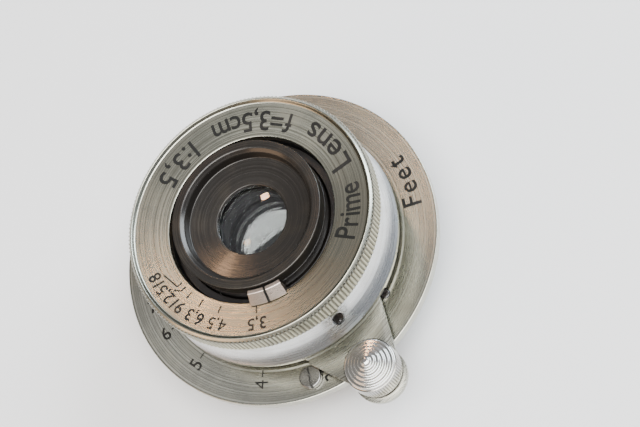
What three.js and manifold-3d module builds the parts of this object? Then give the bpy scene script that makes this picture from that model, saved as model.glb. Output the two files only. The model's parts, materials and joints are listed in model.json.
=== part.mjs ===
// Screw-mount 35 mm f/3.5 wide-angle prime lens, built as it is assembled: a fixed camera mount,
// a helicoid focusing head with its lever and infinity button, a rangefinder cam ring, an iris
// and four lens elements in three groups.
// Millimetres. +Z is the optical axis, towards the subject. The origin is the centre of the
// flange's rear seat, where the lens meets the camera. Stored at infinity focus, fully open.
import * as THREE from 'three';
import { mergeVertices } from 'three/addons/utils/BufferGeometryUtils.js';
import Module from 'manifold-3d';

const wasm = await Module();
wasm.setup();

// ---- driving dimensions ----
const FLANGE_R = 24.0;            // distance-scale flange
const FLANGE_T = 1.45;
const THREAD_R = 19.5;            // M39 x 26 tpi camera thread, major radius
const THREAD_END = -4.6;
const TUBE_BORE_R = 17.75;        // bore that the focusing tube turns in
const FOCUS_TUBE_R = 17.66;
const FOCUS_BORE_R = 16.2;
const CAM_REAR_Z = -7.5;          // rangefinder cam, 7.5 mm behind the flange at infinity
const LEVER_Z0 = 2.2;
const LEVER_Z1 = 2.95;
const COLLAR_R = 18.68;           // the lever plate's round part
const LEVER_APEX = 40.0;          // where the lever's two edges would meet, below the axis
const LEVER_HALF_ANGLE = 16.75;
const KNOB_Y = -26.05;            // infinity button
const TIP_Y = -26.75;             // centre of the lever's round tip
const TIP_R = 3.81;
const BUTTON_R = 3.75;
const KNURL_R = 18.4;
const KNURL_Z0 = 9.75;
const NAME_Z0 = 10.9;             // joint between the barrel and the name ring
const NAME_INNER_R = 12.36;
const HOOD_R = 11.0;
const HOOD_TOP = 14.1;
const NECK_R = 16.1;
const BARREL_BORE_R = 15.4;
const STOP_SCREW_R = 1.6;
const STOP_SCREW_AT = [21.3, 248.4];    // radius, degrees
const GRUB_DEG = 271.5;
const FLANGE_SCREW_AT = [18.65, 293.6];
const DOWEL_AT = [16.95, 0];
const TAB_DEG = 248.0;            // aperture pointer when wide open
const TAB_SPREAD = 11.8;
const RING_SWING = 64;            // aperture ring, wide open to f/18
const BLADES = 6;
const OPEN_R = 5.0;               // iris radius at f/3.5
const CLOSED_R = 0.97;            // iris radius at f/18
const BLADE_OUTER_R = 7.95;
const PIVOT_R = 8.6;
const BLADE_SWING = (2 * Math.asin((OPEN_R - CLOSED_R) / (2 * PIVOT_R)) * 180) / Math.PI;
const ARM = 2.4;                  // pivot to drive pin
const ARM_DEG = -90 - BLADE_SWING / 2;
const SHELF_Z = 5.0;              // seat that the blades lie on
const BLADE_PITCH = 0.2;
const CAM_PLATE_Z = 6.35;
const DRIVE_Z = 7.6;              // screw that joins the aperture ring to the iris plate
const DRIVE_DEG = 200;
const SEG = 48;                   // facets on the large rings
const MID = 32;
const FINE = 12;

const rad = (deg) => (deg * Math.PI) / 180;
const polar = (r, deg) => [r * Math.cos(rad(deg)), r * Math.sin(rad(deg))];

// ---- materials ----
const finish = (color, roughness, metalness) => () =>
  new THREE.MeshStandardMaterial({ color, roughness, metalness });
const nickel = finish(0xb3ada0, 0.36, 1.0);
const chrome = finish(0xc4c8cc, 0.28, 1.0);
const brass = finish(0xb08d57, 0.4, 1.0);
const black = finish(0x191817, 0.3, 0.4);
const steel = finish(0x8f9093, 0.35, 1.0);
const glass = finish(0xdfe8ea, 0.03, 0.0);

// ---- solids ----
function toSolid(geometry) {
  const bare = geometry.index ? geometry.toNonIndexed() : geometry.clone();
  bare.deleteAttribute('normal');
  bare.deleteAttribute('uv');
  const merged = mergeVertices(bare, 1e-5);
  return new wasm.Manifold(new wasm.Mesh({
    numProp: 3,
    vertProperties: new Float32Array(merged.attributes.position.array),
    triVerts: new Uint32Array(merged.index.array),
  }));
}

function toGeometry(solid) {
  const mesh = solid.getMesh();
  const geometry = new THREE.BufferGeometry();
  const flat = new Float32Array(mesh.numVert * 3);
  for (let i = 0; i < mesh.numVert; i++) {
    for (let k = 0; k < 3; k++) {
      flat[i * 3 + k] = mesh.vertProperties[i * mesh.numProp + k];
    }
  }
  geometry.setAttribute('position', new THREE.BufferAttribute(flat, 3));
  geometry.setIndex(new THREE.BufferAttribute(new Uint32Array(mesh.triVerts), 1));
  return geometry;
}

// A solid of revolution about Z from a counter-clockwise list of [radius, height].
function turned(profile, segments = MID) {
  const points = profile.map(([r, z]) => new THREE.Vector2(r, z));
  const onAxis = profile[0][0] === 0 && profile[profile.length - 1][0] === 0;
  if (!onAxis) {
    points.push(points[0].clone());
  }
  const geometry = new THREE.LatheGeometry(points, segments);
  geometry.rotateX(Math.PI / 2);
  return toSolid(geometry);
}

const ring = (r0, r1, z0, z1, segments = MID) =>
  turned([[r0, z0], [r1, z0], [r1, z1], [r0, z1]], segments);

const disc = (r, z0, z1, segments = FINE) =>
  turned([[0, z0], [r, z0], [r, z1], [0, z1]], segments);

function box(x0, x1, y0, y1, z0, z1) {
  const geometry = new THREE.BoxGeometry(x1 - x0, y1 - y0, z1 - z0);
  geometry.translate((x0 + x1) / 2, (y0 + y1) / 2, (z0 + z1) / 2);
  return toSolid(geometry);
}

// A flat plate from a list of [x, y] points, between two heights.
function plate(points, z0, z1) {
  const shape = new THREE.Shape(points.map(([x, y]) => new THREE.Vector2(x, y)));
  const geometry = new THREE.ExtrudeGeometry(shape, {
    depth: z1 - z0, bevelEnabled: false, curveSegments: 1,
  });
  geometry.translate(0, 0, z0);
  return toSolid(geometry);
}

function arc(cx, cy, r, fromDeg, toDeg, steps) {
  const points = [];
  for (let i = 0; i <= steps; i++) {
    const a = fromDeg + ((toDeg - fromDeg) * i) / steps;
    const [x, y] = polar(r, a);
    points.push([cx + x, cy + y]);
  }
  return points;
}

// A band of constant half-width along a curve given as [x, y] points, with square ends.
function band(points, half) {
  const left = [];
  const right = [];
  points.forEach(([x, y], i) => {
    const [ax, ay] = points[Math.max(0, i - 1)];
    const [bx, by] = points[Math.min(points.length - 1, i + 1)];
    const len = Math.hypot(bx - ax, by - ay);
    const nx = -(by - ay) / len;
    const ny = (bx - ax) / len;
    left.push([x + nx * half, y + ny * half]);
    right.push([x - nx * half, y - ny * half]);
  });
  return right.concat(left.reverse());
}

const at = (solid, r, deg, z = 0) => solid.translate([...polar(r, deg), z]);
const cutAll = (solid, tools) => tools.reduce((s, t) => s.subtract(t), solid);
const thirds = [0, 120, 240];
const sixths = Array.from({ length: BLADES }, (_, i) => (360 * i) / BLADES);

// ---- the scene graph ----
const lens = new THREE.Group();
const mount = new THREE.Group();
const head = new THREE.Group();
const opticalUnit = new THREE.Group();
const irisUnit = new THREE.Group();
const lockUnit = new THREE.Group();
lens.add(mount, head);
head.add(opticalUnit, lockUnit);
opticalUnit.add(irisUnit);

function add(group, name, solid, material) {
  const mesh = new THREE.Mesh(toGeometry(solid), material());
  mesh.name = name;
  group.add(mesh);
  return mesh;
}

// ---- camera mount: everything that stays still on the camera ----
const flangeScrewDegs = thirds.map((d) => FLANGE_SCREW_AT[1] + d);
const onScrewCircle = (solid, d) => at(solid, FLANGE_SCREW_AT[0], d);
let flange = turned([
  [TUBE_BORE_R, 0], [THREAD_R, 0], [THREAD_R, 0.12], [THREAD_R + 0.3, 0.12],
  [THREAD_R + 0.3, 0], [FLANGE_R - 0.12, 0], [FLANGE_R, 0.12],
  [FLANGE_R, FLANGE_T - 0.15], [FLANGE_R - 0.15, FLANGE_T], [TUBE_BORE_R, FLANGE_T],
], SEG);
flange = cutAll(flange, flangeScrewDegs.flatMap((d) => [
  onScrewCircle(disc(0.52, -1, 3, 12), d),
  onScrewCircle(disc(0.8, 0.8, 3, 16), d),
]));
flange = cutAll(flange, [
  at(disc(1.0, -1, 3, 16), ...STOP_SCREW_AT),
  box(-2.5, 2.5, -25, -21.6, 0.75, 3),
  disc(0.5, 0.1, 3, 12).translate([0, -22.5, 0]),
]);
add(mount, 'scale_flange', flange, nickel);

let tube = turned([
  [TUBE_BORE_R, THREAD_END], [THREAD_R - 0.5, THREAD_END], [THREAD_R, THREAD_END + 0.5],
  [THREAD_R, 0], [TUBE_BORE_R, 0],
], SEG);
tube = cutAll(tube, flangeScrewDegs.map((d) => onScrewCircle(disc(0.52, -2.6, 1, 12), d)));
tube = cutAll(tube, [
  box(-1.6, 1.6, -18.95, -16, -6, -3.5),
  disc(0.36, -4, -2.4, 12).translate([0, -18.1, 0]),
]);
add(mount, 'thread_tube', tube, brass);

flangeScrewDegs.forEach((d, i) => {
  const screw = turned([
    [0, -2.3], [0.42, -2.3], [0.42, 0.8], [0.7, 0.8], [0.7, 1.4], [0, 1.4],
  ], FINE).subtract(box(-0.12, 0.12, -1, 1, 1.1, 2));
  const mesh = add(mount, `flange_screw_${i + 1}`, screw, steel);
  mesh.position.set(...polar(FLANGE_SCREW_AT[0], d), 0);
});

const stopTop = FLANGE_T + 0.9;
const stopScrew = turned([
  [0, 0.15], [0.9, 0.15], [0.9, FLANGE_T], [STOP_SCREW_R, FLANGE_T],
  [STOP_SCREW_R, stopTop - 0.25], [STOP_SCREW_R - 0.3, stopTop], [0, stopTop],
], 24).subtract(box(-2, 2, -0.2, 0.2, stopTop - 0.45, stopTop + 1).rotate([0, 0, 67]));
add(mount, 'stop_screw', stopScrew, nickel).position.set(...polar(...STOP_SCREW_AT), 0);

// The catch is a hook that the button's plunger rests in at infinity, open towards near focus.
let hook = plate([
  [-2.3, -21.8], [-2.3, -27.4], [-1.7, -28], [1.5, -28], [1.9, -27.6],
  [1.9, -25.2], [2.3, -24.6], [2.3, -21.8],
], 0.75, 1.35);
hook = cutAll(hook, [
  disc(1.1, 0, 3).translate([0, KNOB_Y, 0]),
  box(0, 5, KNOB_Y - 1.08, KNOB_Y + 1.08, 0, 3),
  disc(0.5, 0, 3, 12).translate([0, -22.5, 0]),
]);
add(mount, 'infinity_catch', hook, steel);
const catchScrew = turned([
  [0, 0.15], [0.4, 0.15], [0.4, 1.35], [0.8, 1.35], [0.8, 1.75], [0, 1.75],
], FINE).subtract(box(-1, 1, -0.12, 0.12, 1.55, 3));
add(mount, 'catch_screw', catchScrew, steel).position.set(0, -22.5, 0);

const key = box(-1.45, 1.45, -18.8, -14.9, -4.5, -3.5).subtract(
  turned([[0, -5], [0.6, -5], [0.6, -4.1], [0.36, -4.1], [0.36, -3], [0, -3]], 12)
    .translate([0, -18.1, 0]),
);
add(mount, 'cam_guide_key', key, brass);
const keyScrew = turned([
  [0, -4.45], [0.5, -4.45], [0.5, -4.1], [0.28, -4.1], [0.28, -2.6], [0, -2.6],
], 12);
add(mount, 'key_screw', keyScrew, steel).position.set(0, -18.1, 0);

// ---- rangefinder cam ring, kept straight by the key ----
const cam = ring(14.4, 16.08, CAM_REAR_Z, -2.9, SEG)
  .subtract(box(-1.6, 1.6, -17, -13.5, CAM_REAR_Z - 1, -3.3));
add(lens, 'rangefinder_cam', cam, brass);

// ---- drag ring: turns on top of the flange, keyed to the focusing tube ----
const dragRing = ring(17.8, 18.35, FLANGE_T + 0.03, 2.05, SEG)
  .add(box(-0.65, 0.65, 17.3, 18.0, FLANGE_T + 0.03, 2.05));
add(lens, 'drag_ring', dragRing, black);

// ---- focusing tube and lever ----
const dowelDegs = thirds.map((d) => DOWEL_AT[1] + d);
const dowelHoles = dowelDegs.map((d) => at(disc(0.45, 0.6, 4.0, 12), DOWEL_AT[0], d));
const focusTube = cutAll(
  ring(FOCUS_BORE_R, FOCUS_TUBE_R, -3.3, LEVER_Z0, SEG)
    .subtract(box(-0.8, 0.8, 17.15, 18.5, 0.05, 3)),
  dowelHoles,
);
add(head, 'focusing_tube', focusTube, brass);

// Round collar and two straight edges that run in to a round tip. One has a fillet at the collar.
function leverOutline() {
  const fillet = 1.5;
  const edge = [-Math.sin(rad(LEVER_HALF_ANGLE)), Math.cos(rad(LEVER_HALF_ANGLE))];
  const from = [-edge[1] * fillet, -LEVER_APEX + edge[0] * fillet];
  const b = edge[0] * from[0] + edge[1] * from[1];
  const c = from[0] ** 2 + from[1] ** 2 - (COLLAR_R + fillet) ** 2;
  const t = -b - Math.sqrt(b * b - c);
  const centre = [from[0] + edge[0] * t, from[1] + edge[1] * t];
  const deg = (Math.atan2(centre[1], centre[0]) * 180) / Math.PI;
  const left = arc(...centre, fillet, deg + 180, -LEVER_HALF_ANGLE, 5);
  const tip = arc(0, TIP_Y, TIP_R, 180 - LEVER_HALF_ANGLE, 360 + LEVER_HALF_ANGLE, 18);
  // The other edge runs straight into the collar, which leaves a sharp corner.
  const reach = LEVER_APEX * edge[1]
    - Math.sqrt((LEVER_APEX * edge[1]) ** 2 - LEVER_APEX ** 2 + COLLAR_R ** 2);
  const corner = [-edge[0] * reach, -LEVER_APEX + edge[1] * reach];
  const cornerDeg = (Math.atan2(corner[1], corner[0]) * 180) / Math.PI;
  const collar = arc(0, 0, COLLAR_R, cornerDeg, 360 + deg, 48).slice(0, -1);
  return [...left, ...tip, ...collar];
}
const leverPlate = cutAll(
  plate(leverOutline(), LEVER_Z0, LEVER_Z1),
  [disc(BARREL_BORE_R, 0, 5, SEG), disc(0.9, 0, 5).translate([0, KNOB_Y, 0]), ...dowelHoles],
);
add(head, 'focus_lever', leverPlate, nickel);

dowelDegs.forEach((d, i) => {
  const mesh = add(head, `barrel_dowel_${i + 1}`, disc(0.38, 0.7, 3.9, 12), steel);
  mesh.position.set(...polar(DOWEL_AT[0], d), 0);
});

// ---- barrel: a cove from the collar in to a straight neck ----
const coveFrom = [18.65, LEVER_Z1];
const coveBend = [17.2, 4.35];
const coveTo = [NECK_R, 7.05];
const cove = [0, 1, 2, 3, 4, 5].map((i) => [0, 1].map((k) => {
  const t = i / 5;
  return (1 - t) ** 2 * coveFrom[k] + 2 * t * (1 - t) * coveBend[k] + t * t * coveTo[k];
}));
const alongGrub = (solid) => solid.rotate([0, 55, 0])
  .translate([17.15, 0, 4.83]).rotate([0, 0, GRUB_DEG]);
let barrel = turned([
  [BARREL_BORE_R, LEVER_Z1], ...cove, [NECK_R, NAME_Z0], [BARREL_BORE_R, NAME_Z0],
], SEG);
barrel = cutAll(barrel, [
  ...dowelHoles,
  alongGrub(disc(0.97, -1.1, 2, 20)),
  box(NECK_R - 0.4, 18, -0.7, 0.7, 5.75, 9.7).rotate([0, 0, GRUB_DEG]),
]);
add(head, 'focus_barrel', barrel, nickel);
const grub = disc(0.8, -1.05, -0.35).subtract(box(-1, 1, -0.13, 0.13, -0.6, 1));
add(head, 'head_grub_screw', alongGrub(grub), black);

const nameRing = turned([
  [NAME_INNER_R, NAME_Z0], [16.2, NAME_Z0], [16.2, KNURL_Z0], [KNURL_R, KNURL_Z0],
  [KNURL_R, 12.85], [18.0, 13.17], [17.75, 13.35], [17.35, 12.87], [NAME_INNER_R, 12.07],
], SEG);
add(head, 'name_ring', nameRing, nickel);

// ---- infinity-lock button on the lever's tip ----
const collar = turned([
  [0.9, LEVER_Z1], [3.3, LEVER_Z1], [3.3, 5.2], [2.7, 5.2], [2.7, 3.25], [0.9, 3.25],
], 24);
add(head, 'button_collar', collar, chrome).position.set(0, KNOB_Y, 0);

const TIERS = 6;
const tiers = [];
for (let i = 0; i < TIERS; i++) {
  const r = 3.5 - i * 0.56;
  const z = 6.4 + i * 0.36;
  tiers.push([r, z - 0.02], [r - 0.1, z + 0.27]);
}
const button = turned([
  [0, 6.7], [0.82, 6.7], [0.82, 5.9], [3.42, 5.9], [3.42, 3.5], [BUTTON_R, 3.5],
  [BUTTON_R, 6.3], ...tiers, [0.3, 8.58], [0, 8.6],
], 24);
add(lockUnit, 'lock_button', button, chrome).position.set(0, KNOB_Y, 0);
const plunger = turned([
  [0, 0.85], [0.78, 0.85], [0.78, 1.5], [0.98, 1.5], [0.98, 2.12], [0.78, 2.12],
  [0.78, 6.6], [0, 6.6],
]);
add(lockUnit, 'lock_plunger', plunger, steel).position.set(0, KNOB_Y, 0);

class Coil extends THREE.Curve {
  constructor(r, z0, z1, turns) {
    super();
    Object.assign(this, { r, z0, z1, turns });
  }

  getPoint(t) {
    const a = 2 * Math.PI * this.turns * t;
    return new THREE.Vector3(
      this.r * Math.cos(a), this.r * Math.sin(a), this.z0 + (this.z1 - this.z0) * t,
    );
  }
}
const wireShape = new THREE.Shape(arc(0, 0, 0.13, 0, 288, 4).map((p) => new THREE.Vector2(...p)));
const spring = new THREE.Mesh(new THREE.ExtrudeGeometry(wireShape, {
  steps: 36, bevelEnabled: false, extrudePath: new Coil(1.75, 3.4, 5.75, 2.5),
}), steel());
spring.name = 'lock_spring';
spring.position.set(0, KNOB_Y, 0);
lockUnit.add(spring);

// ---- housing for the glass and the iris ----
const pivotAt = sixths.map((d) => d + 20);
const housing = turned([
  [5.3, 4.2], [7.5, 4.2], [7.5, 1.0], [8.6, 1.0], [8.6, 4.2], [14.0, 4.2], [14.0, 3.2],
  [15.3, 3.2], [15.3, NAME_Z0], [12.5, NAME_Z0], [12.5, SHELF_Z], [5.3, SHELF_Z],
], SEG);
add(opticalUnit, 'head_housing', cutAll(
  housing, pivotAt.map((d) => at(disc(0.3, 4.5, 6, 8), PIVOT_R, d)),
), black);

// Sector of a ring between two bearings, as a tall cutter.
function sector(r0, r1, from, to, z0, z1) {
  const n = Math.max(4, Math.round((to - from) / 8));
  return plate([...arc(0, 0, r1, from, to, n), ...arc(0, 0, r0, to, from, n)], z0, z1);
}

const irisTube = ring(10.25, HOOD_R, SHELF_Z, 12.0, SEG)
  .subtract(sector(9.5, 11.5, DRIVE_DEG - RING_SWING - 4, DRIVE_DEG + 4, 7.1, 8.1));
add(opticalUnit, 'iris_tube', irisTube, black);

const hood = turned([
  [5.15, 10.8], [6.0, 10.8], [6.0, 11.2], [10.15, 11.2], [10.15, 12.0], [HOOD_R, 12.0],
  [HOOD_R, HOOD_TOP - 0.12], [HOOD_R - 0.12, HOOD_TOP], [9.85, HOOD_TOP], [9.25, 13.6],
  [9.1, 12.35], [5.15, 11.65],
], SEG);
add(opticalUnit, 'hood_ring', hood, black);

const frontCell = turned([
  [5.6, 8.4], [10.15, 8.4], [10.15, 11.2], [6.4, 11.2], [6.4, 8.8], [5.6, 8.8],
]);
add(opticalUnit, 'front_cell', frontCell, brass);

// Points of a spherical face from one radius to another: vertex height and signed curvature.
const face = (vertex, curve, r0, r1, n = 4) => {
  const points = [];
  for (let i = 0; i <= n; i++) {
    const r = r0 + ((r1 - r0) * i) / n;
    points.push([r, vertex - Math.sign(curve) * (Math.abs(curve) - Math.sqrt(curve ** 2 - r * r))]);
  }
  return points;
};
add(opticalUnit, 'front_element', turned([
  ...face(9.05, -70, 0, 5.5), [5.7, 8.8], [6.3, 8.8], ...face(11.18, 30, 6.3, 0),
]), glass);

// ---- rear cell with the negative element and the cemented pair ----
const rearCell = turned([
  [5.8, -3.2], [7.4, -3.2], [7.4, 4.2], [5.8, 4.2], [5.8, 1.9], [5.0, 1.9], [5.0, 1.4],
  [5.8, 1.4],
]);
add(opticalUnit, 'rear_cell', rearCell, brass);
add(opticalUnit, 'second_element', turned([
  ...face(2.5, -40, 0, 5.0, 3), [5.05, 1.9], [5.7, 1.9], [5.7, 3.9], ...face(3.5, -32, 5.0, 0, 3),
]), glass);
add(opticalUnit, 'rear_doublet_front', turned([
  ...face(0.1, -18, 0, 5.7, 3), [5.7, 1.4], [5.1, 1.4], ...face(1.05, -55, 4.9, 0, 3),
]), glass);
add(opticalUnit, 'rear_doublet_back', turned([
  ...face(-2.65, -22, 0, 5.0, 4), [5.7, -1.9], ...face(0.06, -18, 5.7, 0, 3),
]), glass);
add(opticalUnit, 'rear_retaining_ring', ring(5.05, 5.7, -3.15, -2.45), black);

// ---- aperture ring, its pointer and the slotted plate that works the blades ----
const driveHole = disc(0.42, 9.0, 13, 12).rotate([0, 90, 0])
  .translate([0, 0, DRIVE_Z]).rotate([0, 0, DRIVE_DEG]);
add(irisUnit, 'aperture_ring', ring(11.15, 12.25, 5.1, 10.05, SEG).subtract(driveHole), black);

const pointer = turned([
  [11.2, 10.05], [12.2, 10.05], [12.2, 12.3], [13.1, 12.34], [13.1, 12.46], [11.75, 13.55],
  [11.2, 13.55],
], SEG);
const pointerPart = (from, to) => pointer.intersect(sector(10, 14, from, to, 9, 15));
add(irisUnit, 'pointer_left', pointerPart(TAB_DEG - TAB_SPREAD, TAB_DEG - 0.9), nickel);
add(irisUnit, 'pointer_right', pointerPart(TAB_DEG + 0.9, TAB_DEG + TAB_SPREAD), nickel);
add(irisUnit, 'pointer_line', pointerPart(TAB_DEG - 0.8, TAB_DEG + 0.8)
  .intersect(disc(12.9, 9, 13.3, MID)), black);
const driveScrew = disc(0.35, 9.2, 12.1, 12).rotate([0, 90, 0])
  .translate([0, 0, DRIVE_Z]).rotate([0, 0, DRIVE_DEG]);
add(irisUnit, 'aperture_drive_screw', driveScrew, steel);

// Where a blade's drive pin is, in the slotted plate's own frame, for a share of the travel.
function pinInPlate(share) {
  const [ax, ay] = polar(ARM, ARM_DEG + BLADE_SWING * share);
  const x = PIVOT_R + ax;
  const y = ay;
  const turn = RING_SWING * share;
  return polar(Math.hypot(x, y), (Math.atan2(y, x) * 180) / Math.PI + turn);
}
const slotLine = [];
for (let i = 0; i <= 10; i++) {
  slotLine.push(pinInPlate(-0.03 + (1.06 * i) / 10));
}
const slot = plate(band(slotLine, 0.32), 6, 8);
let irisPlate = turned([
  [5.6, CAM_PLATE_Z], [10.15, CAM_PLATE_Z], [10.15, 8.2], [9.85, 8.2], [9.85, 7.0], [5.6, 7.0],
], SEG);
irisPlate = cutAll(irisPlate, [...pivotAt.map((d) => slot.rotate([0, 0, d])), driveHole]);
add(irisUnit, 'iris_cam_plate', irisPlate, brass);

// One thin crescent on its own level, with a lug that carries the pivot and the drive pin.
function blade(level) {
  const z0 = SHELF_Z + 0.06 + level * BLADE_PITCH;
  const z1 = z0 + 0.14;
  const [px, py] = polar(ARM, ARM_DEG);
  const crescent = sector(OPEN_R, BLADE_OUTER_R, 0, 150, z0, z1);
  const lug = plate(band([[PIVOT_R, 0.0], [PIVOT_R + px, py]], 0.5), z0, z1)
    .add(disc(0.5, z0, z1).translate([PIVOT_R, 0, 0]))
    .add(disc(0.5, z0, z1).translate([PIVOT_R + px, py, 0]));
  const neck = sector(OPEN_R + 0.6, PIVOT_R + 0.1, -1, 4, z0, z1);
  return crescent.add(neck).add(lug)
    .add(disc(0.24, 4.55, z1, 8).translate([PIVOT_R, 0, 0]))
    .add(disc(0.24, z0, 6.95, 8).translate([PIVOT_R + px, py, 0]));
}
pivotAt.forEach((d, i) => {
  add(irisUnit, `iris_blade_${i + 1}`, blade(i).rotate([0, 0, d]), steel);
});

export default lens;
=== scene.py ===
"""Looks of a screw-mount 35 mm f/3.5 prime lens, built over its CAD frame.

Millimetres in the helpers, metres in Blender. Heights are along the optical axis from the
flange's rear seat; angles are degrees counter-clockwise seen from the front.
"""

import json
import math

import bmesh
import bpy
from mathutils import Matrix, Vector


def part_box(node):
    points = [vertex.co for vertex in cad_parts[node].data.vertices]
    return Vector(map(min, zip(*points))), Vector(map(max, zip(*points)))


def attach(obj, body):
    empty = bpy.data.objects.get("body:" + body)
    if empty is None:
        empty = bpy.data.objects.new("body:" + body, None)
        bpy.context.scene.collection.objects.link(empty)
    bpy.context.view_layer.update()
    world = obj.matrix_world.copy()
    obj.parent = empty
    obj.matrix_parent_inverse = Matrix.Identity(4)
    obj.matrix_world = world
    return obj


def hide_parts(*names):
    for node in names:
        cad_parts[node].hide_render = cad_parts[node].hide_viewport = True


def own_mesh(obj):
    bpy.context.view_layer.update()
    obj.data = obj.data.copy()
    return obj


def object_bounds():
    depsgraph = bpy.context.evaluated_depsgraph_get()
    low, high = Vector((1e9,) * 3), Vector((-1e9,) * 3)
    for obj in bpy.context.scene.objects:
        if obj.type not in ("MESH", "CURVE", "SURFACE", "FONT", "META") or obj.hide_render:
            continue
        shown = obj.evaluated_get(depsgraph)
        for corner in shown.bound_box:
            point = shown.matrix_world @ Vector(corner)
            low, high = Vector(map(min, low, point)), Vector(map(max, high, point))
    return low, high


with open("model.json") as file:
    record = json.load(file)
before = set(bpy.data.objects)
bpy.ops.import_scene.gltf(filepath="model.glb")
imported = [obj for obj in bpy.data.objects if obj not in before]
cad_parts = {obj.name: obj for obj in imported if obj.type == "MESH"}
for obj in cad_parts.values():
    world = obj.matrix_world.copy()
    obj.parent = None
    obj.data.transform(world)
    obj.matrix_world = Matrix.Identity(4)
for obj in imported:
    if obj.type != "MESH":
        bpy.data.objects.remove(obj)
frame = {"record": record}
cad_low, cad_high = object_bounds()
BODY = {n: b for b, ns in frame["record"]["behaviour"]["bodies"].items() for n in ns}
SLOT = {s["node"]: s["material_slot"] for s in frame["record"]["subparts"]}
MM = 0.001
SEG = 240


def low(node, axis=2):
    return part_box(node)[0][axis] / MM


def high(node, axis=2):
    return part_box(node)[1][axis] / MM


# ---- sizes read from the frame ----
FLANGE_R = high("scale_flange", 0)
FLANGE_TOP = high("scale_flange")
THREAD_R = high("thread_tube", 0)
THREAD_END = low("thread_tube")
TUBE_R = high("focusing_tube", 0)
TUBE_END = low("focusing_tube")
CAM_R = high("rangefinder_cam", 0)
CAM_END = low("rangefinder_cam")
CAM_TOP = high("rangefinder_cam")
LEVER_Z0 = low("focus_lever")
LEVER_Z1 = high("focus_lever")
COLLAR_R = high("focus_lever", 0)
KNOB_Y = (low("lock_button", 1) + high("lock_button", 1)) / 2
TIP_R = 3.81
TIP_Y = low("focus_lever", 1) + TIP_R
KNOB_TOP = high("lock_button")
KNOB_LOW = low("lock_button")
BUTTON_R = high("lock_button", 0)
BOSS_R = high("button_collar", 0)
BOSS_TOP = high("button_collar")
PLUNGER = (low("lock_plunger"), high("lock_plunger"))
KNURL_R = high("name_ring", 0)
NAME_TOP = high("name_ring")
NAME_Z0 = low("name_ring")
HOOD_R = high("hood_ring", 0)
HOOD_TOP = high("hood_ring")
BARREL_R = high("focus_barrel", 0)
BARREL_Z0 = low("focus_barrel")
BARREL_Z1 = high("focus_barrel")
RING_R = high("aperture_ring", 0)
RING_Z0 = low("aperture_ring")
RING_TOP = high("aperture_ring")
GLASS_R = high("front_element", 0)
GLASS_TOP = high("front_element")
CELL_R = high("rear_cell", 0)
CELL_END = low("rear_cell")
CELL_TOP = high("rear_cell")

# ---- sizes of details that only the looks have ----
TUBE_BORE_R = 17.75
FOCUS_BORE_R = 16.2
BARREL_BORE_R = 15.4
NECK_R = 16.1
NAME_INNER_R = 12.36
NAME_OUTER_R = 17.35
NAME_INNER_Z = NAME_TOP - 1.28
NAME_OUTER_Z = NAME_TOP - 0.48
LEVER_APEX = 40.0
LEVER_HALF_ANGLE = math.radians(16.75)
STOP_SCREW_AT = (21.3, 248.4)
FLANGE_SCREW_AT = (18.65, 293.6)
GRUB_DEG = 271.5
TAB_DEG = 248.0
TAB_SPREAD = 11.8
TEETH = 190               # knurls round the name ring
KNURL_DEPTH = 0.20
THREAD_DEPTH = 0.5
THREAD_PITCH = 25.4 / 26
RELIEF = (0.3, 0.12)      # width and depth of the groove in the rear seat, beside the thread
COVE_BEND = (17.2, 4.35)  # the point that bends the barrel's hollow side
COVE_TOP = (NECK_R, 7.05)


def spot(r, deg, z=0.0):
    a = math.radians(deg)
    return Vector((r * math.cos(a), r * math.sin(a), z))


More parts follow.
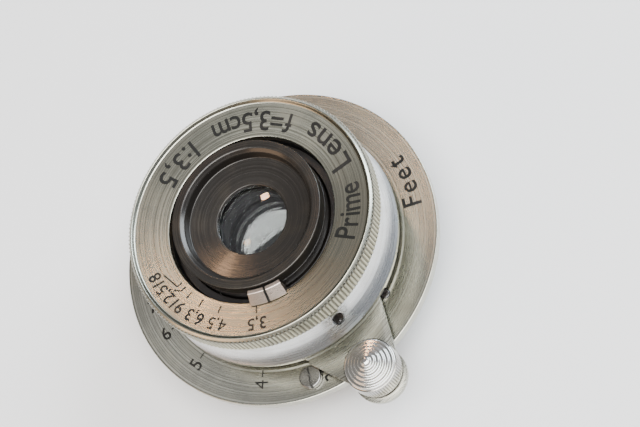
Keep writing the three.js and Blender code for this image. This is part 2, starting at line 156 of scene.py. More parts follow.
# ---- materials ----
def shader(name, base, metallic, rough, **extra):
    """A Principled material whose colour, roughness and surface vary over the object."""
    mat = bpy.data.materials.new(name)
    mat.use_nodes = True
    nodes, links = mat.node_tree.nodes, mat.node_tree.links
    bsdf = nodes["Principled BSDF"]
    bsdf.inputs["Metallic"].default_value = metallic
    coords = nodes.new("ShaderNodeTexCoord")

    def noise(scale, detail, stretch=(1, 1, 1)):
        mapping = nodes.new("ShaderNodeMapping")
        mapping.inputs["Scale"].default_value = stretch
        tex = nodes.new("ShaderNodeTexNoise")
        tex.inputs["Scale"].default_value = scale
        tex.inputs["Detail"].default_value = detail
        links.new(coords.outputs["Object"], mapping.inputs["Vector"])
        links.new(mapping.outputs["Vector"], tex.inputs["Vector"])
        return tex.outputs["Fac"]

    def spread(value, at_low, at_high, start=0.3, end=0.7):
        ramp = nodes.new("ShaderNodeMapRange")
        ramp.inputs["From Min"].default_value = start
        ramp.inputs["From Max"].default_value = end
        ramp.inputs["To Min"].default_value = at_low
        ramp.inputs["To Max"].default_value = at_high
        links.new(value, ramp.inputs["Value"])
        return ramp.outputs["Result"]

    def turned(scale):
        """Lathe marks: noise that changes only with the distance from the part's own axis."""
        centred = nodes.new("ShaderNodeVectorMath")
        centred.operation = "SUBTRACT"
        centred.inputs[1].default_value = (0, extra.get("axis_y", 0.0) * MM, 0)
        flat = nodes.new("ShaderNodeVectorMath")
        flat.operation = "MULTIPLY"
        flat.inputs[1].default_value = (1, 1, 0)
        length = nodes.new("ShaderNodeVectorMath")
        length.operation = "LENGTH"
        rings = nodes.new("ShaderNodeTexNoise")
        rings.noise_dimensions = "1D"
        rings.inputs["Scale"].default_value = scale
        rings.inputs["Detail"].default_value = 2
        links.new(coords.outputs["Object"], centred.inputs[0])
        links.new(centred.outputs["Vector"], flat.inputs[0])
        links.new(flat.outputs["Vector"], length.inputs[0])
        links.new(length.outputs["Value"], rings.inputs["W"])
        return rings.outputs["Fac"], length.outputs["Value"]

    def blend(factor, first, second, kind="MIX"):
        mix = nodes.new("ShaderNodeMix")
        mix.data_type = "RGBA"
        mix.blend_type = kind
        links.new(factor, mix.inputs["Factor"])
        for socket, value in (("A", first), ("B", second)):
            if isinstance(value, tuple):
                mix.inputs[socket].default_value = (*value, 1)
            else:
                links.new(value, mix.inputs[socket])
        return mix.outputs["Result"]

    blotch = noise(extra.get("blotch", 260), 5)
    grain = noise(extra.get("grain", 9000), 3)
    color = blend(spread(blotch, 0.0, 1.0, 0.45, 0.75), base,
                  extra.get("aged", tuple(c * 0.8 for c in base)))
    relief = grain
    if extra.get("lathe_marks"):
        relief, radius = turned(extra["lathe_marks"])
        color = blend(spread(relief, 0.28, 0.0), color, (0.30, 0.27, 0.22), "MULTIPLY")
        # Painted shade in the knurl valleys: the colour is darkened by radius, most at the groove
        # bottom and not at all at the crest.
        if "grime" in extra:
            groove, crest = extra["grime"]
            outside = nodes.new("ShaderNodeMath")
            outside.operation = "GREATER_THAN"
            outside.inputs[1].default_value = (groove - 0.06) * MM
            links.new(radius, outside.inputs[0])
            valley_shade_amount = nodes.new("ShaderNodeMath")
            valley_shade_amount.operation = "MULTIPLY"
            links.new(spread(radius, 0.85, 0.0, groove * MM, crest * MM), valley_shade_amount.inputs[0])
            links.new(outside.outputs["Value"], valley_shade_amount.inputs[1])
            color = blend(valley_shade_amount.outputs["Value"], color, (0.10, 0.085, 0.07), "MULTIPLY")
    links.new(color, bsdf.inputs["Base Color"])
    add = nodes.new("ShaderNodeMath")
    add.operation = "ADD"
    links.new(spread(blotch, rough * 0.9, rough * 1.15), add.inputs[0])
    links.new(spread(relief, -0.05, 0.05), add.inputs[1])
    links.new(add.outputs["Value"], bsdf.inputs["Roughness"])
    bump = nodes.new("ShaderNodeBump")
    bump.inputs["Strength"].default_value = extra.get("bump", 0.12)
    bump.inputs["Distance"].default_value = extra.get("depth", 0.00002)
    links.new(relief, bump.inputs["Height"])
    links.new(bump.outputs["Normal"], bsdf.inputs["Normal"])
    if extra.get("lathe_marks") and not extra.get("axis_y"):
        round_axis = nodes.new("ShaderNodeTangent")
        round_axis.direction_type = "RADIAL"
        round_axis.axis = "Z"
        links.new(round_axis.outputs["Tangent"], bsdf.inputs["Tangent"])
        bsdf.inputs["Anisotropic"].default_value = 0.6
    for socket, value in extra.get("sockets", {}).items():
        bsdf.inputs[socket].default_value = value
    return mat


NICKEL = shader("satin_nickel", (0.45, 0.445, 0.385), 1.0, 0.27, aged=(0.38, 0.365, 0.30),
                lathe_marks=3800, bump=0.03)
# Its last argument paints shade into the valleys between the knurl teeth.
KNURLED = shader("knurled_nickel", (0.44, 0.435, 0.36), 1.0, 0.26, aged=(0.38, 0.365, 0.295),
                 lathe_marks=3800, bump=0.03, grime=(KNURL_R - 0.14, KNURL_R))
BARREL = shader("barrel_nickel", (0.74, 0.75, 0.75), 1.0, 0.27, aged=(0.66, 0.66, 0.65),
                lathe_marks=4200)
CHROME = shader("bright_plate", (0.66, 0.65, 0.62), 1.0, 0.15, bump=0.05, lathe_marks=3000)
# Its last argument paints shade into the valleys of the button's knurl.
BUTTON = shader("button_nickel", (0.68, 0.67, 0.64), 1.0, 0.17, aged=(0.58, 0.56, 0.51),
                lathe_marks=4000, axis_y=KNOB_Y, grime=(BUTTON_R - 0.09, BUTTON_R - 0.01))
POINTER = shader("pointer_nickel", (0.60, 0.50, 0.43), 1.0, 0.28, aged=(0.50, 0.41, 0.34))
BRASS = shader("machined_brass", (0.62, 0.45, 0.22), 1.0, 0.30, aged=(0.42, 0.28, 0.12),
               lathe_marks=4200)
STEEL = shader("tool_steel", (0.21, 0.205, 0.195), 1.0, 0.26, aged=(0.15, 0.145, 0.135))
ENAMEL = shader("black_enamel", (0.012, 0.010, 0.009), 0.0, 0.22, aged=(0.03, 0.024, 0.018),
                bump=0.08, sockets={"Coat Weight": 0.5, "Coat Roughness": 0.08})
BRONZED = shader("bronzed_black", (0.028, 0.025, 0.022), 0.5, 0.24, aged=(0.042, 0.035, 0.027),
                 bump=0.06, lathe_marks=3500, sockets={"Coat Weight": 0.15, "Coat Roughness": 0.1})
MATT = shader("matt_black", (0.012, 0.012, 0.012), 0.0, 0.62, aged=(0.02, 0.02, 0.018))
FILL = shader("engraving_fill", (0.010, 0.010, 0.009), 0.0, 0.6, aged=(0.022, 0.02, 0.018),
              sockets={"Specular IOR Level": 0.12})
GLASS = shader("lens_glass", (0.97, 0.98, 0.975), 0.0, 0.012, aged=(0.96, 0.975, 0.97), bump=0.0,
               sockets={"Transmission Weight": 1.0, "IOR": 1.62})
PAPER = shader("studio_floor", (0.80, 0.80, 0.795), 0.0, 0.7, aged=(0.785, 0.785, 0.78),
               blotch=8, grain=900, bump=0.05)

LOOK = {"satin_nickel": NICKEL, "bright_chrome": CHROME, "machined_brass": BRASS,
        "black_enamel": ENAMEL, "tool_steel": STEEL, "lens_glass": GLASS}


# ---- mesh helpers ----
def finish_mesh(bm, name, mat, node, sharp=28, stands_for=True):
    """Turns a bmesh in millimetres into a shown piece that rides its node's body."""
    bmesh.ops.remove_doubles(bm, verts=bm.verts, dist=1e-5)
    bmesh.ops.recalc_face_normals(bm, faces=bm.faces)
    limit = math.radians(sharp)
    for face in bm.faces:
        face.smooth = True
    for edge in bm.edges:
        edge.smooth = len(edge.link_faces) == 2 and edge.calc_face_angle(4) < limit
    bm.transform(Matrix.Scale(MM, 4))
    mesh = bpy.data.meshes.new(name)
    bm.to_mesh(mesh)
    bm.free()
    obj = bpy.data.objects.new(name, mesh)
    bpy.context.collection.objects.link(obj)
    mesh.materials.append(mat)
    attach(obj, BODY[node])
    if stands_for:
        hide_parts(node)
    return obj


def rounded(profile, size=0.06, steps=4):
    """The profile with each corner rounded, and a support point beside each rounding."""
    out = []
    count = len(profile)
    on_axis = profile[0][0] == 0 and profile[-1][0] == 0
    for i, (r, z) in enumerate(profile):
        if on_axis and i in (0, count - 1):
            out.append((r, z))
            continue
        p = Vector((r, z))
        a = Vector(profile[i - 1]) - p
        b = Vector(profile[(i + 1) % count]) - p
        reach = min(size, a.length * 0.4, b.length * 0.4)
        first, last = p + a.normalized() * reach, p + b.normalized() * reach
        extra = min(0.03, a.length * 0.05, b.length * 0.05)
        out.append(tuple(first + a.normalized() * extra))
        for k in range(steps + 1):
            t = k / steps
            out.append(tuple(first * (1 - t) ** 2 + p * (2 * t * (1 - t)) + last * t * t))
        out.append(tuple(last + b.normalized() * extra))
    return out


def lathe(profile, segments=None, shift=lambda r, z, deg: r):
    """A solid of revolution; shift can change the radius with height and angle."""
    segments = segments or SEG
    bm = bmesh.new()
    rows = []
    for r, z in profile:
        if r == 0:
            rows.append([bm.verts.new((0, 0, z))])
            continue
        row = []
        for i in range(segments):
            deg = 360 * i / segments
            row.append(bm.verts.new(spot(shift(r, z, deg), deg, z)))
        rows.append(row)
    on_axis = profile[0][0] == 0 and profile[-1][0] == 0
    pairs = list(zip(rows, rows[1:])) if on_axis else list(zip(rows, rows[1:] + rows[:1]))
    for low_row, high_row in pairs:
        for i in range(segments):
            j = (i + 1) % segments
            if len(low_row) == 1 and len(high_row) == 1:
                continue
            if len(low_row) == 1:
                bm.faces.new((low_row[0], high_row[j], high_row[i]))
            elif len(high_row) == 1:
                bm.faces.new((low_row[i], low_row[j], high_row[0]))
            else:
                bm.faces.new((low_row[i], low_row[j], high_row[j], high_row[i]))
    return bm


def prism(outline, z0, z1, bevel=0.0):
    """A flat plate with an outline, its upper and lower edges softly bevelled."""
    bm = bmesh.new()
    base = bm.faces.new([bm.verts.new((x, y, z0)) for x, y in outline])
    grown = bmesh.ops.extrude_face_region(bm, geom=[base])
    top = [v for v in grown["geom"] if isinstance(v, bmesh.types.BMVert)]
    bmesh.ops.translate(bm, verts=top, vec=(0, 0, z1 - z0))
    bmesh.ops.recalc_face_normals(bm, faces=bm.faces)
    if bevel:
        rims = [e for e in bm.edges if abs(e.verts[0].co.z - e.verts[1].co.z) < 1e-6]
        bmesh.ops.bevel(bm, geom=rims, offset=bevel, segments=3, profile=0.5,
                        affect="EDGES", clamp_overlap=True)
    return bm


def as_cutter(bm):
    mesh = bpy.data.meshes.new("cutter")
    bmesh.ops.recalc_face_normals(bm, faces=bm.faces)
    bm.to_mesh(mesh)
    bm.free()
    obj = bpy.data.objects.new("cutter", mesh)
    bpy.context.collection.objects.link(obj)
    return obj


def carve(bm, cutters, operation="DIFFERENCE"):
    """The solid with each cutter taken away, as a new bmesh."""
    body = as_cutter(bm)
    tools = [as_cutter(c) for c in cutters]
    for tool in tools:
        step = body.modifiers.new("cut", "BOOLEAN")
        step.operation = operation
        step.object = tool
        step.solver = "EXACT"
    bpy.context.view_layer.update()
    result = body.evaluated_get(bpy.context.evaluated_depsgraph_get()).to_mesh()
    out = bmesh.new()
    out.from_mesh(result)
    for obj in [body, *tools]:
        mesh = obj.data
        bpy.data.objects.remove(obj)
        bpy.data.meshes.remove(mesh)
    return out


def moved(bm, place):
    bm.transform(place)
    return bm


def peg(r, z0, z1, place=None, segments=48):
    bm = lathe([(0, z0), (r, z0), (r, z1), (0, z1)], segments)
    return moved(bm, place) if place else bm


def cuboid(x0, x1, y0, y1, z0, z1):
    return prism([(x0, y0), (x1, y0), (x1, y1), (x0, y1)], z0, z1)


def shift_to(r, deg, z=0.0):
    return Matrix.Translation(spot(r, deg, z))


def curve(cx, cy, r, start, end, steps):
    span = [start + (end - start) * i / steps for i in range(steps + 1)]
    return [(cx + r * math.cos(math.radians(a)), cy + r * math.sin(math.radians(a))) for a in span]


# ---- engraving: thin dark fills that follow the face they are cut in ----
CAP_HEIGHT = 1.0


def glyph(text):
    """A letter or number as flat faces, one unit high for a capital."""
    data = bpy.data.curves.new("glyph", "FONT")
    data.body = text
    data.resolution_u = 8
    data.offset = 0.0 if "4" in text else 0.012
    obj = bpy.data.objects.new("glyph", data)
    bpy.context.collection.objects.link(obj)
    bpy.context.view_layer.update()
    mesh = obj.evaluated_get(bpy.context.evaluated_depsgraph_get()).to_mesh()
    points = [v.co.xy.copy() / CAP_HEIGHT for v in mesh.vertices]
    faces = [tuple(p.vertices) for p in mesh.polygons]
    bpy.data.objects.remove(obj)
    bpy.data.curves.remove(data)
    return points, faces


CAP_HEIGHT = max(p.y for p in glyph("H")[0])
INK = 0.02      # how far the filled engraving stands proud, to stay clear of the metal


def mark(bm, points, faces, origin, right, height_at):
    """Lays flat faces on a face of the lens: origin and right in millimetres in plan."""
    up = Vector((-right.y, right.x))
    made = []
    for p in points:
        xy = origin + right * p.x + up * p.y
        made.append(bm.verts.new((xy.x, xy.y, height_at(xy.length) + INK)))
    for f in faces:
        bm.faces.new([made[i] for i in f])


def stroke(bm, path, width, height_at):
    """A line of even width through plan points."""
    for a, b in zip(path, path[1:]):
        a, b = Vector(a), Vector(b)
        along = (b - a).normalized()
        side = Vector((-along.y, along.x)) * width / 2
        corners = [a - side, b - side, b + side, a + side]
        bm.faces.new([bm.verts.new((*c, height_at(c.length) + INK)) for c in corners])


def plan(r, deg):
    return spot(r, deg).xy


def word(bm, text, r, start, end, size, height_at, squeeze):
    """Letters on an arc with their tops inwards, read counter-clockwise from start to end."""
    cut = [glyph(c) for c in text]
    spans = [(min(p.x for p in g[0]), max(p.x for p in g[0])) for g in cut]
    widths = [(hi - lo) * size * squeeze for lo, hi in spans]
    arc_length = math.radians(end - start) * r
    gap = (arc_length - sum(widths)) / max(1, len(cut) - 1)
    run = 0.0
    for (points, faces), (lo, hi), width in zip(cut, spans, widths):
        deg = start + math.degrees((run + width / 2) / r)
        right = plan(1, deg + 90)
        shaped = [Vector(((p.x - (lo + hi) / 2) * size * squeeze, p.y * size)) for p in points]
        mark(bm, shaped, faces, plan(r, deg), right, height_at)
        run += width + gap


def number(bm, text, r, deg, right_deg, size, height_at, squeeze):
    """A straight number centred on a place, its baseline through that place."""
    points, faces = glyph(text)
    mid = (min(p.x for p in points) + max(p.x for p in points)) / 2
    shaped = [Vector(((p.x - mid) * size * squeeze, p.y * size)) for p in points]
    mark(bm, shaped, faces, plan(r, deg), plan(1, right_deg), height_at)


# ---- camera mount ----
def triangle_wave(x):
    return 1 - abs((x % 1) * 2 - 1)


def screw_thread(r, z, deg):
    """Radius of the thread's outside, with a plain start and a plain undercut at the flange."""
    start, end = THREAD_END + 0.75, -0.75
    if r < THREAD_R - 0.01 or z <= start:
        return r
    if z >= end:
        return r - THREAD_DEPTH
    return r - THREAD_DEPTH * triangle_wave(z / THREAD_PITCH - deg / 360)


screw_degs = [FLANGE_SCREW_AT[1] + d for d in (0, 120, 240)]
flange_cuts = [peg(1.05, -1, 3, shift_to(*STOP_SCREW_AT)), cuboid(-2.5, 2.5, -25, -21.6, 0.75, 3)]
for deg in screw_degs:
    flange_cuts += [peg(0.8, 0.8, 3, shift_to(FLANGE_SCREW_AT[0], deg))]
flange = lathe(rounded([
    (TUBE_BORE_R, 0), (THREAD_R, 0), (THREAD_R, RELIEF[1]), (THREAD_R + RELIEF[0], RELIEF[1]),
    (THREAD_R + RELIEF[0], 0), (FLANGE_R, 0), (FLANGE_R, FLANGE_TOP), (TUBE_BORE_R, FLANGE_TOP),
], 0.16))
finish_mesh(carve(flange, flange_cuts), "flange", NICKEL, "scale_flange")

thread_rows = [(THREAD_R, THREAD_END + 0.5 + 0.065 * i) for i in range(64)]
tube = [(TUBE_BORE_R, THREAD_END), (THREAD_R - 0.5, THREAD_END), *thread_rows,
        (THREAD_R, -0.3), (THREAD_R, -0.02), (TUBE_BORE_R, -0.02)]
tube = carve(lathe(tube, shift=screw_thread), [cuboid(-1.6, 1.6, -20, -16, -6, -3.5)])
finish_mesh(tube, "camera_thread", CHROME, "thread_tube")


def slotted_screw(node, name, r, z0, z1, place, slot_deg, slot_width, slot_depth, mat, shank):
    head = lathe(rounded([(0, z0 - 1.4), (shank, z0 - 1.4), (shank, z0), (r, z0), (r, z1), (0, z1)],
                         min(0.22, r * 0.3)), 96)
    blade = cuboid(-4, 4, -slot_width / 2, slot_width / 2, z1 - slot_depth, z1 + 1)
    head = carve(head, [moved(blade, Matrix.Rotation(math.radians(slot_deg), 4, "Z"))])
    finish_mesh(moved(head, place), name, mat, node)


slotted_screw("stop_screw", "stop_screw_head", 1.6, FLANGE_TOP, high("stop_screw"),
              shift_to(*STOP_SCREW_AT), 67, 0.42, 0.6, STEEL, 0.9)
for i, deg in enumerate(screw_degs):
    slotted_screw(f"flange_screw_{i + 1}", f"flange_screw_head_{i + 1}", 0.7, 0.8, 1.38,
                  shift_to(FLANGE_SCREW_AT[0], deg), 30 + deg, 0.2, 0.25, ENAMEL, 0.4)

hook = prism([(-2.3, -21.8), (-2.3, -27.4), (-1.7, -28), (1.5, -28), (1.9, -27.6),
              (1.9, -25.2), (2.3, -24.6), (2.3, -21.8)], 0.75, 1.35, 0.06)
hook = carve(hook, [peg(1.1, 0, 3, Matrix.Translation((0, KNOB_Y, 0))),
                    cuboid(0, 5, KNOB_Y - 1.08, KNOB_Y + 1.08, 0, 3)])
finish_mesh(hook, "catch_hook", STEEL, "infinity_catch")

# ---- rangefinder cam, focusing tube and drag ring ----
cam = lathe(rounded([(14.4, CAM_END), (CAM_R, CAM_END), (CAM_R, CAM_TOP), (14.4, CAM_TOP)], 0.12))
cam = carve(cam, [cuboid(-1.6, 1.6, -17, -13.5, CAM_END - 1, CAM_TOP - 0.4)])
finish_mesh(cam, "cam_ring", BRASS, "rangefinder_cam")
finish_mesh(lathe(rounded([(FOCUS_BORE_R, TUBE_END), (TUBE_R, TUBE_END), (TUBE_R, LEVER_Z0),
                           (FOCUS_BORE_R, LEVER_Z0)], 0.08)),
            "focus_tube", BRASS, "focusing_tube")
finish_mesh(lathe(rounded([(17.8, low("drag_ring")), (18.35, low("drag_ring")),
                           (18.35, high("drag_ring")), (17.8, high("drag_ring"))], 0.05)),
            "drag_washer", ENAMEL, "drag_ring")


# ---- focusing lever ----
def lever_outline():
    """Round collar, a fillet, two straight edges and a round tip; the last corner is sharp."""
    fillet = 1.5
    sin_a, cos_a = math.sin(LEVER_HALF_ANGLE), math.cos(LEVER_HALF_ANGLE)
    start = Vector((-cos_a * fillet, -LEVER_APEX - sin_a * fillet))
    edge = Vector((-sin_a, cos_a))
    b = edge.dot(start)
    t = -b - math.sqrt(b * b - start.length_squared + (COLLAR_R + fillet) ** 2)
    centre = start + edge * t
    deg = math.degrees(math.atan2(centre.y, centre.x))
    half = math.degrees(LEVER_HALF_ANGLE)
    left = curve(*centre, fillet, deg + 180, -half, 10)
    tip = curve(0, TIP_Y, TIP_R, 180 - half, 360 + half, 60)
    run = LEVER_APEX * cos_a
    reach = run - math.sqrt(run ** 2 - LEVER_APEX ** 2 + COLLAR_R ** 2)
    corner = math.degrees(math.atan2(-LEVER_APEX + cos_a * reach, sin_a * reach))
    collar = curve(0, 0, COLLAR_R, corner, 360 + deg, 180)[:-1]
    return left + tip + collar


lever = carve(prism(lever_outline(), LEVER_Z0, LEVER_Z1, 0.07),
              [peg(BARREL_BORE_R, 0, 5, segments=120),
               peg(0.9, 0, 5, Matrix.Translation((0, KNOB_Y, 0))),
               peg(0.16, LEVER_Z1 - 0.12, LEVER_Z1 + 1, shift_to(19.4, 262.9), 24)])
finish_mesh(lever, "lever_plate", NICKEL, "focus_lever", sharp=24)

# ---- barrel with its cove ----
cove = []
for i in range(25):
    t = i / 24
    cove.append(tuple(a * (1 - t) ** 2 + b * 2 * t * (1 - t) + c * t * t
                      for a, b, c in zip((BARREL_R, BARREL_Z0), COVE_BEND, COVE_TOP)))
barrel = [(BARREL_BORE_R, BARREL_Z0), *cove, (NECK_R, BARREL_Z1), (BARREL_BORE_R, BARREL_Z1)]
grub_at = (Matrix.Rotation(math.radians(GRUB_DEG), 4, "Z") @ Matrix.Translation((17.15, 0, 4.83))
           @ Matrix.Rotation(math.radians(55), 4, "Y"))
slit = moved(cuboid(NECK_R - 0.4, 18, -0.7, 0.7, 5.75, 9.9),
             Matrix.Rotation(math.radians(GRUB_DEG), 4, "Z"))
finish_mesh(carve(lathe(barrel), [peg(0.97, -1.1, 2, grub_at), slit]),
            "barrel_cove", BARREL, "focus_barrel")
grub = carve(peg(0.8, -1.05, -0.35), [cuboid(-1, 1, -0.13, 0.13, -0.6, 1)])
finish_mesh(moved(grub, grub_at), "grub_screw", ENAMEL, "head_grub_screw")


# ---- knurled name ring ----
def knurl(r, z, deg):
    return r - KNURL_DEPTH * triangle_wave(deg * TEETH / 360) if r > KNURL_R - 0.16 else r


name_profile = rounded([
    (NAME_INNER_R, NAME_Z0 + 1.15), (16.2, NAME_Z0 + 1.15), (16.2, NAME_Z0), (KNURL_R, NAME_Z0),
    (KNURL_R, NAME_TOP - 0.5), (KNURL_R - 0.4, NAME_TOP - 0.18), (KNURL_R - 0.65, NAME_TOP),
    (NAME_OUTER_R, NAME_OUTER_Z), (NAME_INNER_R, NAME_INNER_Z),
], 0.14)
finish_mesh(lathe(name_profile, TEETH * 4, knurl), "knurled_name_ring", KNURLED, "name_ring",
            sharp=24)


def on_name_face(r):
    share = (r - NAME_INNER_R) / (NAME_OUTER_R - NAME_INNER_R)
    return NAME_INNER_Z + (NAME_OUTER_Z - NAME_INNER_Z) * share


def on_flange(r):
    return FLANGE_TOP


# ---- generic engraving on the name ring: kind of lens, focal length, aperture scale ----
names = bmesh.new()
for text, r, start, end, size, squeeze in (
    ("Prime", 16.25, 304.7, 335, 3.1, 0.78),
    ("Lens", 16.25, 346, 378, 3.1, 1.05),
    ("f=3,5cm", 16.05, 389.2, 436.6, 2.8, 0.98),
    ("1:3,5", 16.05, 449.8, 476.5, 2.8, 1.0),
):
    word(names, text, r, start, end, size, on_name_face, squeeze)
stops = [("3,5", 239.3, 239.5), ("4,5", 216.2, 218.0), ("6,3", 203.3, 204.7), ("9", 193.7, 194.5),
         ("12,5", 187.9, 184.5), ("18", 184.0, 173.0)]
for text, tick, centre in stops:
    number(names, text, 14.9, centre, centre - 90, 1.75, on_name_face, 0.95)
    bend = [plan(13.9, tick), plan(14.5, centre)] if abs(tick - centre) > 3 else [plan(14.2, tick)]
    stroke(names, [plan(13.05, tick), *bend], 0.2, on_name_face)
finish_mesh(names, "name_engraving", FILL, "name_ring", stands_for=False)

# ---- distance scale in feet on the flange ----
scale = bmesh.new()
INFINITY_DEG = 84.6
FOCAL = 35
LEVER_DEG_PER_MM = 134.33       # turn of the lever for each millimetre the head advances
MM_PER_FOOT = 304.8
SCALE_START = 71                # about two focal lengths, in millimetres


def scale_deg(feet):
    """The lever's turn for a distance: the head's advance is f squared over (distance - 2 f)."""
    return INFINITY_DEG + LEVER_DEG_PER_MM * FOCAL ** 2 / (feet * MM_PER_FOOT - SCALE_START)


for feet in (4, 5, 6, 7, 8, 10, 15, 30):
    deg = scale_deg(feet)
    stroke(scale, [plan(18.9, deg), plan(19.9, deg)], 0.2, on_flange)
    rise = math.degrees(0.95 / 20.85)
    number(scale, str(feet), 20.95, deg + rise, deg + rise + 180, 2.0, on_flange, 0.95)
stroke(scale, [plan(18.9, INFINITY_DEG), plan(19.9, INFINITY_DEG)], 0.2, on_flange)
for side in (-1, 1):
    loop = curve(0, side * 0.62, 0.55, 0, 360, 40)
    ring = [plan(20.95, INFINITY_DEG) + Matrix.Rotation(math.radians(INFINITY_DEG), 2) @ Vector(p)
            for p in loop]
    stroke(scale, ring, 0.17, on_flange)
number(scale, "3\u00bd", 21.0, 258.4, 258.4 + 180, 2.0, on_flange, 0.9)
word(scale, "Feet", 22.05, -27, -5, 2.75, on_flange, 1.0)
finish_mesh(scale, "distance_engraving", FILL, "scale_flange", stands_for=False)

# ---- infinity button ----
knob_place = Matrix.Translation((0, KNOB_Y, 0))


def button_knurl(r, z, deg):
    return r - 0.11 * triangle_wave(deg * 60 / 360) if r > BUTTON_R - 0.04 else r


boss = lathe(rounded([(0.9, LEVER_Z1), (BOSS_R, LEVER_Z1), (BOSS_R, BOSS_TOP),
                      (2.7, BOSS_TOP), (2.7, LEVER_Z1 + 0.3), (0.9, LEVER_Z1 + 0.3)], 0.06), 120)
finish_mesh(moved(boss, knob_place), "button_boss", CHROME, "button_collar")
steps = []
for i in range(6):
    r, z = 3.5 - i * 0.56, KNOB_LOW + 2.9 + i * 0.36
    steps += [(r, z - 0.02), (r - 0.1, z + 0.27)]
steps += [(0.3, KNOB_TOP - 0.02), (0, KNOB_TOP)]
cap = rounded([(0, 6.7), (0.82, 6.7), (0.82, 5.9), (3.42, 5.9), (3.42, KNOB_LOW),
               (BUTTON_R, KNOB_LOW), (BUTTON_R, KNOB_LOW + 2.8), *steps], 0.1)
finish_mesh(moved(lathe(cap, 240, button_knurl), knob_place), "stepped_button", BUTTON,
            "lock_button", sharp=24)
plunger = lathe(rounded([(0, PLUNGER[0]), (0.78, PLUNGER[0]), (0.78, 1.5), (0.98, 1.5),
                         (0.98, 2.12), (0.78, 2.12), (0.78, PLUNGER[1]), (0, PLUNGER[1])], 0.05), 64)
finish_mesh(moved(plunger, knob_place), "button_plunger", STEEL, "lock_plunger")

SPRING_R, WIRE_R, SPRING_TURNS, WIRE_SIDES, COIL_STEPS = 1.75, 0.13, 2.5, 12, 120
spring_low, spring_high = low("lock_spring") + WIRE_R, high("lock_spring") - WIRE_R
coil = bmesh.new()
sections = []
for i in range(COIL_STEPS + 1):
    t = i / COIL_STEPS
    out = spot(1, 360 * SPRING_TURNS * t)
    middle = out * SPRING_R + Vector((0, KNOB_Y, spring_low + (spring_high - spring_low) * t))
    sections.append([coil.verts.new(middle + out * p.x + Vector((0, 0, p.y)))
                     for p in (Vector(c) for c in curve(0, 0, WIRE_R, 0, 360, WIRE_SIDES)[:-1])])
for a, b in zip(sections, sections[1:]):
    for k in range(WIRE_SIDES):
        coil.faces.new((a[k], a[k - 1], b[k - 1], b[k]))
coil.faces.new(sections[0])
coil.faces.new(reversed(sections[-1]))
spring = finish_mesh(coil, "button_spring", STEEL, "lock_spring", sharp=50)
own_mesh(spring)

# ---- black hood, groove and pointer ----
hood = rounded([
    (5.15, 10.8), (6.0, 10.8), (6.0, 11.2), (10.15, 11.2), (10.15, 12.0), (HOOD_R, 12.0),
    (HOOD_R, HOOD_TOP), (9.85, HOOD_TOP), (9.25, HOOD_TOP - 0.5), (9.1, 12.35), (5.15, 11.65),
], 0.14)
finish_mesh(lathe(hood), "hood", BRONZED, "hood_ring")
finish_mesh(lathe(rounded([(10.25, low("iris_tube")), (HOOD_R, low("iris_tube")),
                           (HOOD_R, 11.99), (10.25, 11.99)], 0.05)),
            "iris_sleeve", ENAMEL, "iris_tube")
finish_mesh(lathe(rounded([(11.15, RING_Z0), (RING_R, RING_Z0), (RING_R, RING_TOP),
                           (11.15, RING_TOP)], 0.1)),
            "groove_ring", ENAMEL, "aperture_ring")
housing = [(5.3, 4.2), (7.5, 4.2), (7.5, 1.0), (8.6, 1.0), (8.6, 4.2), (14.0, 4.2), (14.0, 3.2),
           (15.3, 3.2), (15.3, NAME_Z0 + 1.1), (12.5, NAME_Z0 + 1.1), (12.5, 5.0), (5.3, 5.0)]
finish_mesh(lathe(rounded(housing, 0.08)), "inner_housing", MATT, "head_housing")


def wedge(start, end):
    inner, outer = curve(0, 0, 9, end, start, 12), curve(0, 0, 15, start, end, 12)
    return prism(inner + outer, 9, 15)


pointer_profile = rounded([
    (11.2, RING_TOP), (12.2, RING_TOP), (12.2, 12.3), (13.1, 12.34), (13.1, 12.46),
    (11.75, 13.55), (11.2, 13.55)], 0.06)
for node, mat, start, end in (
    ("pointer_left", POINTER, TAB_DEG - TAB_SPREAD, TAB_DEG - 0.9),
    ("pointer_right", POINTER, TAB_DEG + 0.9, TAB_DEG + TAB_SPREAD),
    ("pointer_line", FILL, TAB_DEG - 0.8, TAB_DEG + 0.8),
):
    piece = carve(lathe(pointer_profile), [wedge(start, end)], "INTERSECT")
    if node == "pointer_line":
        piece = carve(piece, [cuboid(-20, 20, -20, 20, 13.3, 16)])
    finish_mesh(piece, f"{node}_block", mat, node)


# ---- glass ----
def dome(vertex, radius, start, end, count=24):
    rows = []
    for i in range(count + 1):
        r = start + (end - start) * i / count
        sag = math.copysign(abs(radius) - math.sqrt(radius ** 2 - r * r), radius)
        rows.append((r, vertex - sag))
    return rows


GLASSES = {
    "front_element": [*dome(9.05, -70, 0, 5.5), (5.7, 8.8), (GLASS_R, 8.8),
                      *dome(GLASS_TOP, 30, GLASS_R, 0)],
    "second_element": [*dome(2.5, -40, 0, 5.0), (5.05, 1.9), (5.7, 1.9), (5.7, 3.9),
                       *dome(3.5, -32, 5.0, 0)],
    "rear_doublet_front": [*dome(0.1, -18, 0, 5.7), (5.7, 1.4), (5.1, 1.4), *dome(1.05, -55, 4.9, 0)],
    "rear_doublet_back": [*dome(-2.65, -22, 0, 5.0), (5.7, -1.9), *dome(0.06, -18, 5.7, 0)],
}
for node, profile in GLASSES.items():
    finish_mesh(lathe(profile, 96), f"{node}_glass", GLASS, node, sharp=35)

# ---- rear cell ----
rear = [(5.8, CELL_END), (CELL_R, CELL_END), (CELL_R, CELL_TOP), (5.8, CELL_TOP), (5.8, 1.9),
        (5.0, 1.9), (5.0, 1.4), (5.8, 1.4)]
finish_mesh(lathe(rounded(rear, 0.1)), "rear_lens_cell", MATT, "rear_cell")
keeper = lathe(rounded([(5.05, -3.15), (5.7, -3.15), (5.7, -2.45), (5.05, -2.45)], 0.06))
keeper = carve(keeper, [cuboid(-7, 7, -0.4, 0.4, -3.3, -2.8)])
finish_mesh(keeper, "rear_keeper", ENAMEL, "rear_retaining_ring")

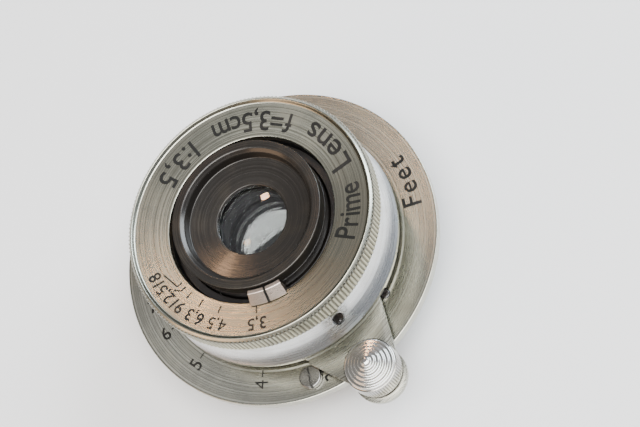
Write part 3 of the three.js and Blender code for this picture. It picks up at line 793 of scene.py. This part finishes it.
# ---- pieces whose CAD shape is already the real one ----
SMALL_LOOKS = {"iris_blade": MATT, "iris_cam_plate": MATT, "front_cell": MATT}
for node in BODY:
    obj = bpy.data.objects.get(node)
    if obj is None or obj.hide_render:
        continue
    mat = next((m for k, m in SMALL_LOOKS.items() if node.startswith(k)), LOOK[SLOT[node]])
    obj.data.materials.clear()
    obj.data.materials.append(mat)

# ---- studio: pale floor, soft light, camera ----
floor_mesh = bpy.data.meshes.new("floor")
floor_mesh.from_pydata([(-3, -3, 0), (3, -3, 0), (3, 3, 0), (-3, 3, 0)], [], [(0, 1, 2, 3)])
floor = bpy.data.objects.new("floor", floor_mesh)
floor.location.z = cad_low.z - 0.0002
floor_mesh.materials.append(PAPER)
bpy.context.collection.objects.link(floor)

world = bpy.data.worlds.new("studio")
bpy.context.scene.world = world
world.use_nodes = True
wn, wl = world.node_tree.nodes, world.node_tree.links
direction = wn.new("ShaderNodeTexCoord")
split = wn.new("ShaderNodeSeparateXYZ")
side = wn.new("ShaderNodeMapRange")
side.inputs["From Min"].default_value = -0.8
side.inputs["From Max"].default_value = 0.8
tint = wn.new("ShaderNodeMix")
tint.data_type = "RGBA"
tint.inputs["A"].default_value = (0.64, 0.60, 0.55, 1)
tint.inputs["B"].default_value = (0.74, 0.80, 0.90, 1)
wl.new(direction.outputs["Generated"], split.inputs["Vector"])
wl.new(split.outputs["X"], side.inputs["Value"])
wl.new(side.outputs["Result"], tint.inputs["Factor"])
wl.new(tint.outputs["Result"], wn["Background"].inputs["Color"])
wn["Background"].inputs["Strength"].default_value = 0.50


def softbox(name, place, size, watts, color):
    data = bpy.data.lights.new(name, "AREA")
    data.shape = "RECTANGLE"
    data.size, data.size_y = size
    data.energy = watts
    data.color = color
    lamp = bpy.data.objects.new(name, data)
    lamp.location = place
    lamp.rotation_mode = "QUATERNION"
    lamp.rotation_quaternion = (-Vector(place)).to_track_quat("-Z", "Y")
    bpy.context.collection.objects.link(lamp)


softbox("window", (0.75, 0.10, 0.50), (0.6, 0.4), 12, (0.80, 0.90, 1.0))
softbox("ceiling", (0.0, -0.25, 0.80), (0.9, 0.6), 18, (1.0, 1.0, 1.0))
softbox("room", (-0.6, -0.05, 0.30), (0.4, 0.3), 1.5, (1.0, 0.66, 0.42))
softbox("lamp", (0.14, 0.62, 0.78), (0.07, 0.07), 0.75, (1.0, 0.60, 0.34))

# The view in the photograph: distance from the aim point, direction and roll.
CAMERA_DISTANCE = 0.206
CAMERA_AZIMUTH = 3.3          # degrees round from straight in front of the lever
CAMERA_ELEVATION = 60.55
CAMERA_ROLL = 43.2
AIM = Vector((7.70, -3.22, 6.0)) * MM
az, el = math.radians(CAMERA_AZIMUTH), math.radians(CAMERA_ELEVATION)
back = Vector((math.sin(az) * math.cos(el), -math.cos(az) * math.cos(el), math.sin(el)))
camera = bpy.data.objects.new("camera", bpy.data.cameras.new("camera"))
camera.data.lens = 82.0
camera.data.sensor_width = 36.0
camera.data.clip_start = 0.01
camera.location = AIM + back * CAMERA_DISTANCE
camera.rotation_mode = "QUATERNION"
level = (-back).to_track_quat("-Z", "Y").to_matrix()
roll = Matrix.Rotation(math.radians(-CAMERA_ROLL), 3, "Z")
camera.rotation_quaternion = (level @ roll).to_quaternion()
bpy.context.collection.objects.link(camera)
bpy.context.scene.camera = camera
